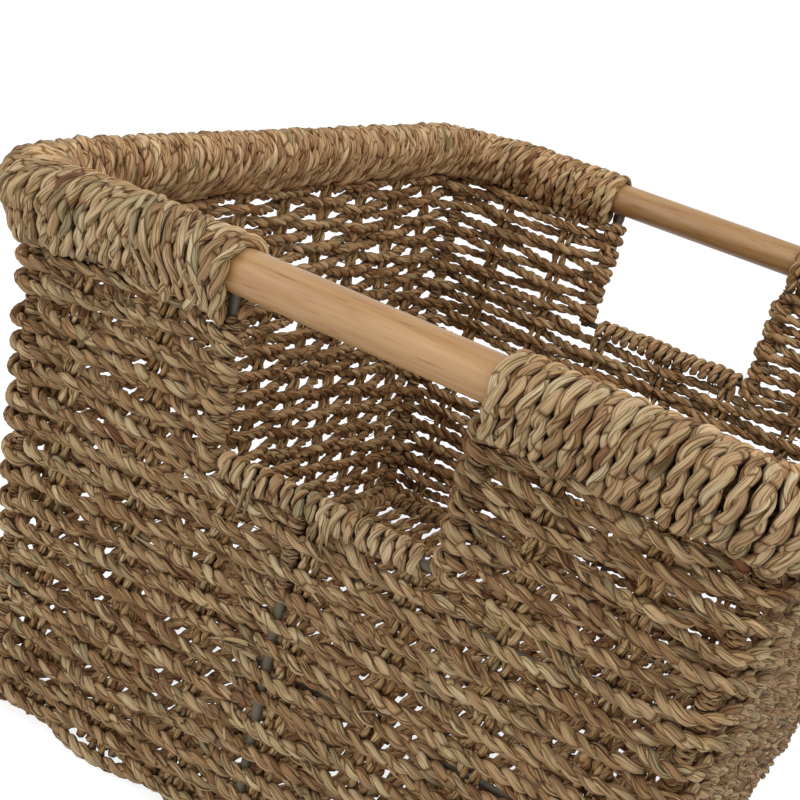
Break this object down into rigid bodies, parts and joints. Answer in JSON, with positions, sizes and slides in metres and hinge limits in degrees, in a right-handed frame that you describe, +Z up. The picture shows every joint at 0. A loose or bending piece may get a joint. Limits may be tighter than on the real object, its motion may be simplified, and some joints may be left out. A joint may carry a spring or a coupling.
{
  "type": "magazine basket",
  "caption": "Rectangular seagrass magazine basket on a wire frame, with a rope-wrapped rim and a round wooden handle over a hand hole in each end wall.",
  "frame": {"origin": "on the floor, under the middle of the basket", "axes": "+X along the basket from the left handle to the right one, +Y from the front long wall to the back one, +Z up"},
  "size_m": [0.4614, 0.3934, 0.28],
  "materials": {
    "seagrass": "matte",
    "rim_rope": "matte",
    "stake_rope": "matte",
    "rim_core": "matte",
    "pine": "satin",
    "frame_wire": "satin"
  },
  "bodies": {
    "root": {"left_stake_1": "stake_rope", "left_stake_2": "stake_rope", "left_stake_3": "stake_rope", "left_stake_4": "stake_rope", "left_stake_5": "stake_rope", "left_stake_6": "stake_rope", "left_stake_7": "stake_rope", "left_front_corner_stake": "stake_rope", "left_front_handle_upright": "frame_wire", "left_front_corner_upright": "frame_wire", "left_back_corner_stake": "stake_rope", "left_back_handle_upright": "frame_wire", "left_back_corner_upright": "frame_wire", "left_middle_upright": "frame_wire", "left_sill_wire": "frame_wire", "left_base_cross_wire": "frame_wire", "left_handle": "pine", "left_sill_wrap": "rim_rope", "right_stake_1": "stake_rope", "right_stake_2": "stake_rope", "right_stake_3": "stake_rope", "right_stake_4": "stake_rope", "right_stake_5": "stake_rope", "right_stake_6": "stake_rope", "right_stake_7": "stake_rope", "right_front_corner_stake": "stake_rope", "right_front_handle_upright": "frame_wire", "right_front_corner_upright": "frame_wire", "right_back_corner_stake": "stake_rope", "right_back_handle_upright": "frame_wire", "right_back_corner_upright": "frame_wire", "right_middle_upright": "frame_wire", "right_sill_wire": "frame_wire", "right_base_cross_wire": "frame_wire", "right_handle": "pine", "right_sill_wrap": "rim_rope", "through_stake_1": "stake_rope", "through_stake_2": "stake_rope", "through_stake_3": "stake_rope", "through_stake_4": "stake_rope", "through_stake_5": "stake_rope", "through_stake_6": "stake_rope", "through_stake_7": "stake_rope", "front_top_rail": "frame_wire", "front_rim_core": "rim_core", "front_rim_wrap": "rim_rope", "front_upper_weave": "seagrass", "back_top_rail": "frame_wire", "back_rim_core": "rim_core", "back_rim_wrap": "rim_rope", "back_upper_weave": "seagrass", "base_ring_wire": "frame_wire", "lower_weave": "seagrass", "base_weave": "seagrass"}
  },
  "joints": []
}
